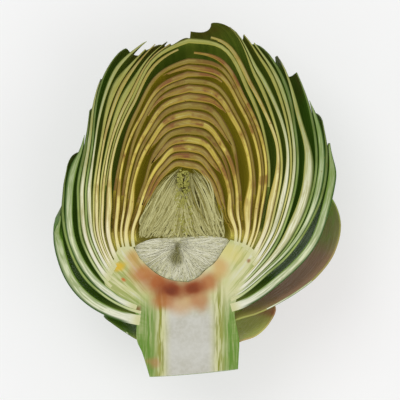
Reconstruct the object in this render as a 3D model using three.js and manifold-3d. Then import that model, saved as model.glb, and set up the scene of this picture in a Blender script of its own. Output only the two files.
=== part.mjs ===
// A globe artichoke cut in half from stem to tip. The half lies on its rounded back with the cut face up.
// Millimetres. The head's axis runs along Y with the stem towards -Y, X runs across the cut face and Z is up.

import * as THREE from "three";
import { mergeGeometries, mergeVertices } from "three/addons/utils/BufferGeometryUtils.js";
import Module from "manifold-3d";

const wasm = await Module();
wasm.setup();

// Clear air between neighbouring pieces
const GAP = 0.5;

// The back is fuller towards the stem: the gain in depth for each millimetre, and the height where it is nothing
const FULLNESS = 0.003;
const FULLNESS_FROM = 12;

// The outermost bract is worn flat where the half rests, at this depth under the cut face
const REST_DEPTH = 45.4;

// A block larger than the whole head, to cut with
const BLOCK = 200;

// The bracts lie in nested layers around the middle of the heart, where the choke sits.
// A layer's radius is given at these angles from the tip, for the left and the right of the cut face.
const STATIONS = [0, 12, 25, 50, 75, 100, 122, 150];
const LAYERS = [
  {
    order: 0,
    left: [69, 68, 66, 51.5, 44.8, 45, 43.5, 37.5],
    right: [69, 69.5, 71, 62, 50, 43, 36.8, 32.8],
  },
  {
    order: 2,
    left: [68.5, 67.3, 64.8, 49.4, 43, 43.4, 42.2, 36.5],
    right: [68.5, 69.2, 69.5, 59.5, 48, 39.5, 33.3, 30.2],
  },
  {
    order: 4,
    left: [68, 66.5, 63.5, 47.2, 40.8, 38.4, 35.8, 31.5],
    right: [68, 69, 68, 57, 46, 36, 29.8, 27.5],
  },
  {
    order: 10,
    left: [66.5, 62.4, 57.3, 39.5, 33.6, 31, 29.4, 28],
    right: [66.5, 67, 61.8, 46, 35.5, 29.3, 26.4, 25.5],
  },
  {
    order: 16,
    left: [65, 56.4, 46.8, 34.8, 29.6, 28.3, 27.3, 26.5],
    right: [65, 64.3, 51, 38.1, 29, 24.9, 23.3, 22.9],
  },
  {
    order: 18,
    left: [60, 54.5, 44, 33.2, 28, 27.1, 26.3, 25.8],
    right: [60, 58.2, 47.5, 35.5, 26.8, 23.4, 22.2, 22],
  },
  {
    order: 25,
    left: [45, 42, 35.2, 26.4, 22.4, 22.6, 23, 23],
    right: [45, 43.8, 37, 26.9, 21.2, 19.8, 19.4, 19.4],
  },
  {
    order: 32,
    left: [26, 25.5, 22.5, 18.3, 17, 18.6, 19.5, 19.5],
    right: [26, 25, 21.5, 16.4, 14, 15.6, 16.6, 16.6],
  },
];

// Bracts follow each other round the axis by the golden angle, each one a step further in.
// Those rooted more than the reach past the cut grew on the other half.
// A bract rooted near the cut stands closer to it than the even spiral, as its neighbours crowd it.
const BRACT_COUNT = 33;
const FIRST_AZIMUTH = 90;
const GOLDEN_ANGLE = 137.508;
const ROOT_REACH = 38;
const LOWEST_ROOT = 148;
const CROWDED_WITHIN = 46;
const CROWDED_SHARE = 0.35;
const HALF_WIDTH = 37;
const INNER_FROM = 15;
const LEAST_THICKNESS = 0.62;
const MOST_THICKNESS = 2.7;
const FILLED_SHARE = 0.7;
const FOLDED_SHARE = 0.47;

// Where the bracts end, in degrees from the tip: the outer ones are short and the inner ones fold over it
const TIP_ORDERS = [0, 4, 7, 8, 10, 11, 13, 16, 20, 22, 26, 32];
const TIP_ANGLES = [64, 48, 28, 31, 12, 20, 12, 7, 2, -10, -24, -38];
const SHORT_TIPS = { 2: 80 };

// How the tips narrow: a lower power is rounder
const OUTER_COUNT = 14;
const OUTER_TIP = 0.6;
const INNER_TIP = 0.95;

// Heart and stem in outline from the rim round the choke down to the cut end of the stem: distance from the axis, height
const HEART_LEFT = [
  [17.6, -6.9], [22.1, -7.4], [24, -11.8], [25.8, -14.6], [26.9, -17.6], [25.6, -20.8],
  [23.4, -23], [18.6, -25.3], [16.6, -28.8], [16.4, -36.8], [14.6, -41], [11, -53],
];
const HEART_RIGHT = [
  [13.6, -4.7], [19, -6.5], [22.4, -9.6], [22.2, -12.5], [20.4, -15.5], [18.4, -18.2],
  [16.8, -20.6], [15.4, -24], [14.9, -28.5], [16.4, -37], [16.3, -41], [15.6, -53],
];
// The hollow that holds the choke, from its middle out to the rim
const BOWL_LEFT = [[0, -18.3], [5.1, -17.7], [9, -16.2], [12.2, -13.9], [15.4, -10.7]];
const BOWL_RIGHT = [[0, -18.3], [3.4, -16.6], [5.6, -14.4], [8.7, -11.9], [11.2, -8.2]];

// The choke, a pad of hairs in that hollow: outline from the middle of its top, over the rim, to its lowest point
const CHOKE_LEFT = [
  [0, -4.4], [6, -4.6], [11.5, -5.3], [16, -7], [14.5, -10.2], [11.6, -13.1], [8.5, -15.3], [4.8, -16.8], [0, -17.5],
];
const CHOKE_RIGHT = [
  [0, -4.4], [5, -4.4], [9, -4.5], [12.2, -5.2], [10.4, -8], [8, -11.2], [5, -13.6], [3, -15.7], [0, -17.5],
];
const HAIR_GROOVES = 13;
const GROOVE_DEPTH = 0.7;

// The young florets over the choke close up into a dome, given as distance from the axis at each height
const FLORET_FOOT = -3.5;
const DOME_HEIGHTS = [-3.5, 0, 4.8, 9.6, 14, 17.2, 19.2];
const DOME_LEFT = [16.2, 15.7, 14, 11.8, 8.6, 4.8, 0.5];
const DOME_RIGHT = [11.5, 11.3, 11, 9.8, 7.4, 4.4, 0.5];
const FLORET_COUNT = 92;
const FLORET_RADII = [1.05, 0.95, 0.8, 0.4];
const DOME_CORE = 0.86;
const STRAND_DEPTH = 0.6;

// The slanting cut across the stem: its height on the axis, and its slopes across the face and towards the back
const STEM_END = { height: -47.5, across: 5, back: -4 };

// Small bracts at the foot of the head and one that spreads on the right: outline from root to tip, distance from the axis, height
const OUTER_BRACTS = [
  {
    name: "bract_spread_right",
    azimuth: 27,
    halfWidth: 28,
    thickness: 1.5,
    line: [[17.2, -30], [22, -28.6], [28, -25.8], [35.8, -21.1], [41.8, -16.2], [47.4, -9], [50.4, 0], [50, 10.5]],
  },
  {
    name: "bract_low_right",
    azimuth: 34,
    halfWidth: 28,
    thickness: 1.2,
    line: [[17, -37.5], [22.1, -35.6], [27.8, -30.6], [32.2, -25.4]],
  },
  {
    name: "bract_low_left",
    azimuth: 158,
    halfWidth: 22,
    thickness: 1.2,
    line: [[17.2, -36.3], [20.2, -34.4], [24.6, -31.6], [29, -29.2]],
  },
  {
    name: "bract_low_back",
    azimuth: 91,
    halfWidth: 27,
    thickness: 1.2,
    line: [[17.4, -37], [22.5, -35], [28.5, -31], [34, -25.5]],
  },
];

const radians = THREE.MathUtils.degToRad;

// Smooth curve through given heights at given places
function smooth(places, heights, at) {
  let i = 0;
  while (i < places.length - 2 && at > places[i + 1]) i += 1;
  const slope = (j) => {
    const before = Math.max(j - 1, 0);
    const after = Math.min(j + 1, places.length - 1);
    return (heights[after] - heights[before]) / (places[after] - places[before]);
  };
  const span = places[i + 1] - places[i];
  const t = (at - places[i]) / span;
  if (t > 1) return heights[i + 1] + slope(i + 1) * span * (t - 1);
  return (
    heights[i] * (1 + 2 * t) * (1 - t) ** 2 +
    heights[i + 1] * t * t * (3 - 2 * t) +
    span * (slope(i) * t * (1 - t) ** 2 + slope(i + 1) * t * t * (t - 1))
  );
}

// Straight lines through given heights at given places
function straight(places, heights, at) {
  let i = 0;
  while (i < places.length - 2 && at > places[i + 1]) i += 1;
  const t = (at - places[i]) / (places[i + 1] - places[i]);
  return THREE.MathUtils.lerp(heights[i], heights[i + 1], t);
}

const orders = LAYERS.map((layer) => layer.order);

// The bracts' azimuths, from the outermost in
const azimuths = [];
for (let turn = 0; azimuths.length < BRACT_COUNT; turn += 1) {
  const azimuth = radians(FIRST_AZIMUTH + GOLDEN_ANGLE * turn);
  const side = Math.round(azimuth / Math.PI) * Math.PI;
  const crowded = Math.abs(azimuth - side) < radians(CROWDED_WITHIN);
  const settled = crowded ? THREE.MathUtils.lerp(side, azimuth, CROWDED_SHARE) : azimuth;
  if (Math.sin(azimuth) > -Math.sin(radians(ROOT_REACH))) azimuths.push(settled);
}

// Share of the right-hand outline at an azimuth: all of it at 0 degrees, none at 180
function rightShare(azimuth) {
  return (1 + Math.cos(azimuth)) / 2;
}

// A layer's radius in a direction from the heart's middle
function layerRadius(order, polar, azimuth) {
  const angle = Math.abs(polar) / radians(1);
  const at = (side) => straight(orders, LAYERS.map((layer) => smooth(STATIONS, layer[side], angle)), order);
  return THREE.MathUtils.lerp(at("left"), at("right"), rightShare(azimuth));
}

// The heart's outer wall as a radius, in the same directions, for the bracts' roots to stand on
function heartRadius(polar, azimuth) {
  const at = ([, ...wall]) => {
    const angles = wall.map(([across, height]) => Math.atan2(across, height));
    const radii = wall.map(([across, height]) => Math.hypot(across, height));
    return polar < angles[0] - GAP / radii[0] ? 0 : straight(angles, radii, polar);
  };
  const [left, right] = [at(HEART_LEFT), at(HEART_RIGHT)];
  return THREE.MathUtils.lerp(left, right, rightShare(azimuth));
}

// The unit vector at an angle from the tip along a bract's middle line, and an angle out to its side
function direction(azimuth, polar, lateral) {
  const along = new THREE.Vector3(
    Math.sin(polar) * Math.cos(azimuth),
    Math.cos(polar),
    -Math.sin(polar) * Math.sin(azimuth),
  );
  const side = new THREE.Vector3(-Math.sin(azimuth), 0, -Math.cos(azimuth));
  return along.multiplyScalar(Math.cos(lateral)).addScaledVector(side, Math.sin(lateral));
}

// A closed shell between two grids of points with the same rows and columns
function shell(outer, inner) {
  const rows = outer.length - 1;
  const columns = outer[0].length - 1;
  const positions = [];
  const index = [];
  const id = (face, i, j) => (face * (rows + 1) + i) * (columns + 1) + j;
  const quad = (a, b, c, d) => index.push(a, b, c, a, c, d);
  for (const grid of [outer, inner])
    for (const row of grid)
      for (const point of row) positions.push(point.x, point.y, point.z);
  for (let i = 0; i < rows; i += 1)
    for (let j = 0; j < columns; j += 1) {
      quad(id(0, i, j), id(0, i + 1, j), id(0, i + 1, j + 1), id(0, i, j + 1));
      quad(id(1, i + 1, j), id(1, i, j), id(1, i, j + 1), id(1, i + 1, j + 1));
    }
  for (let i = 0; i < rows; i += 1) {
    quad(id(0, i + 1, 0), id(0, i, 0), id(1, i, 0), id(1, i + 1, 0));
    quad(id(0, i, columns), id(0, i + 1, columns), id(1, i + 1, columns), id(1, i, columns));
  }
  for (let j = 0; j < columns; j += 1) {
    quad(id(0, 0, j), id(0, 0, j + 1), id(1, 0, j + 1), id(1, 0, j));
    quad(id(0, rows, j + 1), id(0, rows, j), id(1, rows, j), id(1, rows, j + 1));
  }
  return new THREE.BufferGeometry()
    .setAttribute("position", new THREE.Float32BufferAttribute(positions, 3))
    .setIndex(index);
}

// A geometry as a solid, turned right side out
function solidOf(geometry) {
  const bare = new THREE.BufferGeometry()
    .setAttribute("position", geometry.getAttribute("position"))
    .setIndex(geometry.index);
  const merged = mergeVertices(bare, 1e-4);
  const triVerts = new Uint32Array(merged.index.array);
  const make = () =>
    new wasm.Manifold(
      new wasm.Mesh({ numProp: 3, vertProperties: merged.attributes.position.array, triVerts }),
    );
  const solid = make();
  if (solid.volume() > 0) return solid;
  for (let i = 0; i < triVerts.length; i += 3)
    [triVerts[i + 1], triVerts[i + 2]] = [triVerts[i + 2], triVerts[i + 1]];
  return make();
}

// A geometry's solid with the back as full as it grew
function grown(geometry) {
  const position = geometry.getAttribute("position");
  for (let i = 0; i < position.count; i += 1)
    position.setZ(i, position.getZ(i) * (1 + FULLNESS * (FULLNESS_FROM - position.getY(i))));
  return solidOf(geometry);
}

// A solid as a geometry
function geometryOf(solid) {
  const mesh = solid.getMesh();
  return new THREE.BufferGeometry()
    .setAttribute("position", new THREE.Float32BufferAttribute(mesh.vertProperties, 3))
    .setIndex([...mesh.triVerts]);
}

// Everything under the cut face
const belowCut = solidOf(new THREE.BoxGeometry(BLOCK, BLOCK, BLOCK).translate(0, 0, -BLOCK / 2));

// Where the core between the florets ends, so that cut florets stand out of it as strands
const belowStrands = solidOf(new THREE.BoxGeometry(BLOCK, BLOCK, BLOCK).translate(0, 0, -STRAND_DEPTH - BLOCK / 2));

// What the resting surface keeps clear
const belowRest = solidOf(
  new THREE.BoxGeometry(BLOCK, BLOCK, BLOCK).translate(0, 0, -REST_DEPTH - BLOCK / 2),
);

// The largest body of a solid that is left under the cut face
function cutInHalf(solid) {
  const bodies = solid.intersect(belowCut).decompose();
  return bodies.sort((a, b) => b.volume() - a.volume())[0];
}

// Width of a bract along its length, as a share of its widest: broad at the root and narrowing to the tip
function outlineShare(along, roundness) {
  const belly = 0.84 + 0.16 * Math.sin(Math.PI * Math.min(along / 0.7, 1));
  const taper = Math.max(along - 0.4, 0) / 0.6;
  return Math.max(belly * (1 - taper * taper) ** roundness, 0.1);
}

// Angle between two azimuths
function apartBy(first, second) {
  return Math.abs(Math.atan2(Math.sin(first - second), Math.cos(first - second)));
}

// How many steps further in the next bract lies that stands at the same azimuth
function stepsToNext(order, polar, azimuth) {
  const reach = Math.atan2(Math.tan(radians(HALF_WIDTH + 4)), Math.sin(polar));
  const next = azimuths.findIndex((other, k) => k > order && apartBy(other, azimuth) < reach);
  return next < 0 ? 2 : next - order;
}

// One bract of the spiral, before the cut
function spiralBract(order, azimuth) {
  const tip = radians(SHORT_TIPS[order] ?? straight(TIP_ORDERS, TIP_ANGLES, order));
  const inner = order >= INNER_FROM;
  const columns = 6;
  // Rows stand closer together past the bend, where the bract folds over the middle
  const bend = radians(40);
  const crowd = inner ? 2.1 : 1.7;
  const outerGrid = [];
  const innerGrid = [];
  const place = (along, across) => {
    const lateral = radians(HALF_WIDTH) * outlineShare(along, order < OUTER_COUNT ? OUTER_TIP : INNER_TIP) * across;
    const at = (polar) => {
      const way = direction(azimuth, polar, lateral);
      const angle = Math.acos(THREE.MathUtils.clamp(way.y, -1, 1));
      const round = Math.atan2(-way.z, way.x);
      const radius = layerRadius(order, angle, round);
      const slope = (layerRadius(order, angle + 0.05, round) - radius) / 0.05 / radius;
      const beside = THREE.MathUtils.smoothstep(angle, radians(50), radians(78));
      const apart = THREE.MathUtils.lerp(1, stepsToNext(order, angle, round), beside);
      const room = radius - layerRadius(order + apart, angle, round);
      const edge = across * across;
      const share = THREE.MathUtils.lerp(FOLDED_SHARE, FILLED_SHARE, beside);
      const wanted = THREE.MathUtils.lerp(Math.min(share * room, MOST_THICKNESS), LEAST_THICKNESS, edge);
      const thickness = Math.max(wanted, LEAST_THICKNESS) * Math.hypot(1, Math.min(slope, 1));
      return { way, radius, thickness, clear: radius - thickness - GAP - heartRadius(angle, round) };
    };
    let root = radians(LOWEST_ROOT);
    while (at(root).clear < 0) root -= radians(0.5);
    const end = tip < bend ? bend - (bend - tip) * crowd : tip;
    const step = THREE.MathUtils.lerp(root, end, along);
    return at(step < bend ? bend - (bend - step) / crowd : step);
  };
  const length = LOWEST_ROOT - tip / radians(1);
  const rows = Math.round(length / 12.5);
  for (let i = 0; i <= rows; i += 1) {
    outerGrid.push([]);
    innerGrid.push([]);
    for (let j = 0; j <= columns; j += 1) {
      const { way, radius, thickness } = place(i / rows, (2 * j) / columns - 1);
      outerGrid[i].push(way.clone().multiplyScalar(radius));
      innerGrid[i].push(way.clone().multiplyScalar(radius - thickness));
    }
  }
  return shell(outerGrid, innerGrid);
}

// One of the free-standing bracts at the foot of the head, swept round the axis
function outerBract({ azimuth, halfWidth, thickness, line }) {
  const curve = new THREE.SplineCurve(line.map(([across, height]) => new THREE.Vector2(across, height)));
  const rows = 7;
  const columns = 6;
  const outerGrid = [];
  const innerGrid = [];
  for (let i = 0; i <= rows; i += 1) {
    const along = i / rows;
    const point = curve.getPointAt(along);
    const run = curve.getTangentAt(along);
    const inward = new THREE.Vector2(-run.y, run.x);
    outerGrid.push([]);
    innerGrid.push([]);
    for (let j = 0; j <= columns; j += 1) {
      const across = (2 * j) / columns - 1;
      const round = radians(azimuth + halfWidth * outlineShare(along, OUTER_TIP) * across);
      const wall = THREE.MathUtils.lerp(thickness, LEAST_THICKNESS, across * across);
      const within = point.clone().addScaledVector(inward, wall);
      outerGrid[i].push(new THREE.Vector3(point.x * Math.cos(round), point.y, -point.x * Math.sin(round)));
      innerGrid[i].push(new THREE.Vector3(within.x * Math.cos(round), within.y, -within.x * Math.sin(round)));
    }
  }
  return shell(outerGrid, innerGrid);
}

// A body turned round the axis from a left and a right outline, closed on the axis
function turned(left, right, segments) {
  const positions = [];
  const index = [];
  for (let j = 0; j < segments; j += 1) {
    const azimuth = ((j + 0.5) * 2 * Math.PI) / segments;
    left.forEach(([across, height], i) => {
      const x = THREE.MathUtils.lerp(across, right[i][0], rightShare(azimuth));
      const y = THREE.MathUtils.lerp(height, right[i][1], rightShare(azimuth));
      positions.push(x * Math.cos(azimuth), y, -x * Math.sin(azimuth));
    });
  }
  const count = left.length;
  for (let j = 0; j < segments; j += 1)
    for (let i = 0; i < count - 1; i += 1) {
      const [a, b] = [j * count + i, ((j + 1) % segments) * count + i];
      if (left[i][0] > 0) index.push(a, b, a + 1);
      if (left[i + 1][0] > 0) index.push(b, b + 1, a + 1);
    }
  return new THREE.BufferGeometry()
    .setAttribute("position", new THREE.Float32BufferAttribute(positions, 3))
    .setIndex(index);
}

// The choke before the cut, and the grooves between its hairs where the cut face shows them
function chokeSolid() {
  let solid = grown(turned(CHOKE_LEFT, CHOKE_RIGHT, 22));
  for (let i = 0; i < HAIR_GROOVES; i += 1) {
    const fan = radians(THREE.MathUtils.lerp(-80, 80, i / (HAIR_GROOVES - 1)));
    const groove = new THREE.CylinderGeometry(GROOVE_DEPTH, 0.2, 10, 4)
      .translate(0, -8.5, 0)
      .rotateZ(fan)
      .translate(-1, -3, 0);
    solid = solid.subtract(solidOf(groove));
  }
  return solid;
}

// The dome's distance from the axis at a height and an azimuth
function domeRadius(height, azimuth) {
  const at = (radii) => smooth(DOME_HEIGHTS, radii, height);
  return THREE.MathUtils.lerp(at(DOME_LEFT), at(DOME_RIGHT), rightShare(azimuth));
}

// One floret: a slim four-sided rod that leans in with the dome, from its foot on the choke to its tip
function floret(index) {
  const azimuth = radians(GOLDEN_ANGLE * index + 20);
  const share = Math.sqrt((index + 0.5) / FLORET_COUNT);
  const tip = THREE.MathUtils.lerp(17.6, 8, share ** 1.5);
  const rings = FLORET_RADII.length;
  const positions = [];
  const faces = [];
  FLORET_RADII.forEach((radius, i) => {
    const height = THREE.MathUtils.lerp(FLORET_FOOT, tip, (i / (rings - 1)) ** 0.8);
    const across = share * (domeRadius(height, azimuth) - 0.6);
    for (let side = 0; side < 4; side += 1) {
      const turn = (side * Math.PI) / 2 + azimuth;
      positions.push(
        across * Math.cos(azimuth) + radius * Math.cos(turn),
        height,
        -across * Math.sin(azimuth) - radius * Math.sin(turn),
      );
    }
  });
  for (let i = 0; i < rings - 1; i += 1)
    for (let side = 0; side < 4; side += 1) {
      const [a, b] = [i * 4 + side, i * 4 + ((side + 1) % 4)];
      faces.push(a, b, b + 4, a, b + 4, a + 4);
    }
  const top = (rings - 1) * 4;
  faces.push(0, 2, 1, 0, 3, 2, top, top + 1, top + 2, top, top + 2, top + 3);
  return new THREE.BufferGeometry()
    .setAttribute("position", new THREE.Float32BufferAttribute(positions, 3))
    .setIndex(faces);
}

// The florets joined to the smaller core that they stand out of
function floretHead() {
  const core = (radii) => [
    [0, FLORET_FOOT + 0.2],
    ...DOME_HEIGHTS.map((height, i) => [radii[i] * DOME_CORE, Math.max(height - 1.2, FLORET_FOOT + 0.2)]).slice(1, -1),
    [0, 17],
  ];
  let solid = grown(turned(core(DOME_LEFT), core(DOME_RIGHT), 14)).intersect(belowStrands);
  for (let i = 0; i < FLORET_COUNT; i += 1) {
    const rod = floret(i);
    rod.computeBoundingBox();
    if (rod.boundingBox.min.z < 0) solid = solid.add(grown(rod));
  }
  return solid;
}

const meshes = [];
function add(name, solid, material) {
  const mesh = new THREE.Mesh(geometryOf(solid), material);
  mesh.name = name;
  meshes.push(mesh);
}

const skin = (color, roughness) => new THREE.MeshStandardMaterial({ color, roughness, metalness: 0 });
const green = skin(0x4f7a22, 0.5);
const olive = skin(0x8f8c3e, 0.55);
const purple = skin(0x6e4f42, 0.55);
const cream = skin(0xcdcd9b, 0.5);
const hair = skin(0xbec3af, 0.8);
const floretGreen = skin(0xa5a56e, 0.7);

azimuths.forEach((azimuth, order) => {
  const solid = cutInHalf(grown(spiralBract(order, azimuth)).subtract(belowRest));
  add("bract_" + String(order + 1).padStart(2, "0"), solid, order < INNER_FROM ? green : olive);
});
for (const bract of OUTER_BRACTS) {
  add(bract.name, cutInHalf(grown(outerBract(bract))), bract.name === "bract_spread_right" ? purple : green);
}

const heartOutline = (bowl, wall) => [...bowl, ...wall, [0, wall.at(-1)[1]]];
const heartSolid = grown(turned(heartOutline(BOWL_LEFT, HEART_LEFT), heartOutline(BOWL_RIGHT, HEART_RIGHT), 26));
const belowStemEnd = solidOf(
  new THREE.BoxGeometry(BLOCK, BLOCK, BLOCK)
    .translate(0, -BLOCK / 2, 0)
    .rotateX(radians(STEM_END.back))
    .rotateZ(radians(STEM_END.across))
    .translate(0, STEM_END.height, 0),
);
add("heart_and_stem", cutInHalf(heartSolid.subtract(belowStemEnd)), cream);
add("choke", cutInHalf(chokeSolid()), hair);
add("florets", cutInHalf(floretHead()), floretGreen);

const root = new THREE.Group();
root.add(...meshes);
const box = new THREE.Box3().setFromObject(root);
const middle = box.getCenter(new THREE.Vector3());
root.position.set(-middle.x, -middle.y, -box.min.z);

export default root;
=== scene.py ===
# A globe artichoke cut in half from stem to tip, lying on its back with the cut face up.
# Shapes are worked out in millimetres round the head's own axis, which runs along Y, and set down in metres.

import math
from contextlib import contextmanager

import bpy
import numpy as np
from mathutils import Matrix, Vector


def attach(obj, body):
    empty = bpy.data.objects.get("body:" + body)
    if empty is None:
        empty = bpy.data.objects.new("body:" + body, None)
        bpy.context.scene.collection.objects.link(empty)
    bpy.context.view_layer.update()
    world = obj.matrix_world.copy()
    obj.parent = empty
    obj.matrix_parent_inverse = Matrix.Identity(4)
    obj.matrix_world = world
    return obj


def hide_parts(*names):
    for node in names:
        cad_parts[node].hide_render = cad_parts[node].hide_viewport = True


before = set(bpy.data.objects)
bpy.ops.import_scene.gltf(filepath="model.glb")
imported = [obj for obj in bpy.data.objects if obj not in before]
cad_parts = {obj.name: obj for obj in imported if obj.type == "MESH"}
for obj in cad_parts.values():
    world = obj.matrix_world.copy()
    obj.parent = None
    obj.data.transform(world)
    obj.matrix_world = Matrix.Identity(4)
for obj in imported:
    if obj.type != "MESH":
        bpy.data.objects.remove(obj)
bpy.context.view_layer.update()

# One millimetre, and where the middle of the heart lies in the part's own frame
MM = 0.001
HEART_PLACE = np.array([-3.06, -7.96, 45.4])
CUT_HEIGHT = HEART_PLACE[2] * MM

# Depth gained towards the stem for each millimetre, and the height where it is nothing
FULLNESS = 0.003
FULLNESS_FROM = 12
# How deep the bracts root in the heart, and how little its cut face lies under theirs
ROOT_DEPTH = 1.2
ROOT_DIP = 3.5
HEART_LOWER = 0.02

# Radii of the nested layers of bracts at these angles from the tip, for both sides of the cut face
STATIONS = [0, 12, 25, 50, 75, 100, 122, 150]
LAYER_ORDERS = [0, 2, 4, 10, 16, 18, 25, 32]
LAYERS_LEFT = [
    [69, 68, 66, 51.5, 44.8, 45, 43.5, 37.5],
    [68.5, 67.3, 64.8, 49.4, 43, 43.4, 42.2, 36.5],
    [68, 66.5, 63.5, 47.2, 40.8, 38.4, 35.8, 31.5],
    [66.5, 62.4, 57.3, 39.5, 33.6, 31, 29.4, 28],
    [65, 56.4, 46.8, 34.8, 29.6, 28.3, 27.3, 26.5],
    [60, 54.5, 44, 33.2, 28, 27.1, 26.3, 25.8],
    [45, 42, 35.2, 26.4, 22.4, 22.6, 23, 23],
    [26, 25.5, 22.5, 18.3, 17, 18.6, 19.5, 19.5],
]
LAYERS_RIGHT = [
    [69, 69.5, 71, 62, 50, 43, 36.8, 32.8],
    [68.5, 69.2, 69.5, 59.5, 48, 39.5, 33.3, 30.2],
    [68, 69, 68, 57, 46, 36, 29.8, 27.5],
    [66.5, 67, 61.8, 46, 35.5, 29.3, 26.4, 25.5],
    [65, 64.3, 51, 38.1, 29, 24.9, 23.3, 22.9],
    [60, 58.2, 47.5, 35.5, 26.8, 23.4, 22.2, 22],
    [45, 43.8, 37, 26.9, 21.2, 19.8, 19.4, 19.4],
    [26, 25, 21.5, 16.4, 14, 15.6, 16.6, 16.6],
]

# Bracts follow each other round the axis by the golden angle, each one a step further in.
# Those rooted near the cut stand a little closer to it. Angles are in degrees.
BRACT_COUNT = 33
FIRST_AZIMUTH = 90
GOLDEN_ANGLE = 137.508
ROOT_REACH = 38
CROWDED_WITHIN = 46
CROWDED_SHARE = 0.35
# Where roots are looked for along the heart, as angles from the tip
ROOT_TRIES = np.radians(np.arange(160, 70, -0.5))
# Half of a bract's width, its wall, and how much of the room to the next bract the wall fills
HALF_WIDTH = 37
LEAST_THICKNESS = 0.5
MOST_THICKNESS = 3.2
SLIM_WALLS = {1: 2.6, 4: 2.4}
FILLED_SHARE = 0.93
FOLDED_SHARE = 0.92
# How far from the axis the tips end, and how bluntly outer, inner and folded bracts narrow
TIP_ORDERS = [0, 4, 7, 8, 10, 11, 13, 16, 20, 22, 26, 32]
TIP_ANGLES = [64, 48, 28, 31, 12, 20, 12, 7, 2, -10, -24, -38]
SHORT_TIPS = {2: 80}
OUTER_COUNT = 14
OUTER_TIP = 0.6
INNER_TIP = 0.95
FOLDED_TIP = 0.35
# A tip's share of the wall, and the waver of the edges: along the tip in degrees, in and out in millimetres
THIN_TIP = 0.35
EDGE_WAVE = 1.6
EDGE_RIPPLE = 0.16

# Broad bracts on the back: the room that their edges take at the cut, and those that fold over the apex
MARGIN_SHARE = 0.34
MARGIN_MOST = 1.0
MARGIN_LEAST = 0.25
FOLDED_FROM = 18
BROAD_WIDTH = 110
MOST_REACH = math.radians(84)
BROAD_TIP = -22
# The youngest bracts, folded over the florets
YOUNG_ORDERS = [33, 34]
YOUNG_WIDTH = 110

# Heart and stem, the hollow for the choke, and the choke: distance from the axis and height
HEART_LEFT = [
    [17.6, -6.9], [22.1, -7.4], [24, -11.8], [25.8, -14.6], [26.9, -17.6], [25.6, -20.8],
    [23.4, -23], [18.6, -25.3], [16.6, -28.8], [16.4, -36.8], [14.6, -41], [11, -53],
]
HEART_RIGHT = [
    [13.6, -4.7], [19, -6.5], [22.4, -9.6], [22.2, -12.5], [20.4, -15.5], [18.4, -18.2],
    [16.8, -20.6], [15.4, -24], [14.9, -28.5], [16.4, -37], [16.3, -41], [15.6, -53],
]
BOWL_LEFT = [[0, -18.3], [5.1, -17.7], [9, -16.2], [12.2, -13.9], [15.4, -10.7]]
BOWL_RIGHT = [[0, -18.3], [3.4, -16.6], [5.6, -14.4], [8.7, -11.9], [11.2, -8.2]]
CHOKE_LEFT = [
    [0, -3.7], [6, -4], [11.5, -4.9], [17, -6.9], [15.3, -10.6],
    [12.1, -13.8], [8.9, -16.1], [5.1, -17.6], [0, -18.2],
]
CHOKE_RIGHT = [
    [0, -3.7], [5, -3.8], [9, -3.9], [13, -4.8], [11.1, -8.1],
    [8.6, -11.8], [5.5, -14.3], [3.3, -16.5], [0, -18.2],
]
VESSELS_FROM = -44
STEM_END_HEIGHT = -47.5
STEM_END_ACROSS = 5
STEM_END_BACK = -4

# The dome of florets over the choke
FLORET_FOOT = -3.5
DOME_HEIGHTS = [-3.5, 0, 4.8, 9.6, 14, 17.2, 19.2]
DOME_LEFT = [16.2, 15.7, 14, 11.8, 8.6, 4.8, 0.5]
DOME_RIGHT = [11.5, 11.3, 11, 9.8, 7.4, 4.4, 0.5]
DOME_CORE = 0.86
COLUMN_PLACE = -1.6

# How many hairs, buds, cut strands and beads, the middle of the choke where its hairs meet,
# and the height of the highest florets
HAIR_COUNT = 620
BUD_COUNT = 150
STRAND_COUNT = 330
BEAD_COUNT = 240
CHOKE_FOCUS = [-2.6, -6.2]
FLORET_TOP = 17.6

# Steps across and along the leaves: narrow ones, broad ones, those folded over the apex and the outer ones
NARROW_STEPS = (28, 64)
BROAD_STEPS = (72, 60)
FOLDED_STEPS = (64, 64)
OUTER_STEPS = (28, 40)

# Sheen of the skins and their painted glow, and how deep a browned spot goes and how far its edge wavers
SKIN_ROUGHNESS = 0.42
PAINTED_SKIN_GLOW = 0.16
SPOT_DEPTH = 20
SPOT_WAVER = 6

# What the camera takes in from above: its width and middle, its distance and its sensor
VIEW_WIDTH = 128
VIEW_MIDDLE = [3.84, 8.0]
CAMERA_DISTANCE = 1.2
SENSOR = 36

# Free-standing bracts at the foot of the head: azimuth, half their width in degrees, wall,
# and their middle line as distance from the axis and height
OUTER_BRACTS = [
    ("bract_spread_right", 27, 28, 1.5, [
        [14, -31.2], [17.2, -30], [22, -28.6], [28, -25.8], [35.8, -21.1],
        [41.8, -16.2], [47.4, -9], [50.4, 0], [50, 10.5],
    ]),
    ("bract_low_right", 34, 28, 1.2, [
        [14.4, -38.9], [17, -37.5], [22.1, -35.6], [27.8, -30.6], [32.2, -25.4],
    ]),
    ("bract_low_left", 158, 22, 1.2, [
        [14.6, -37.6], [17.2, -36.3], [20.2, -34.4], [24.6, -31.6], [29, -29.2],
    ]),
    ("bract_low_back", 91, 27, 1.2, [
        [14.6, -38.4], [17.4, -37], [22.5, -35], [28.5, -31], [34, -25.5],
    ]),
]

chance = np.random.default_rng(7)


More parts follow.
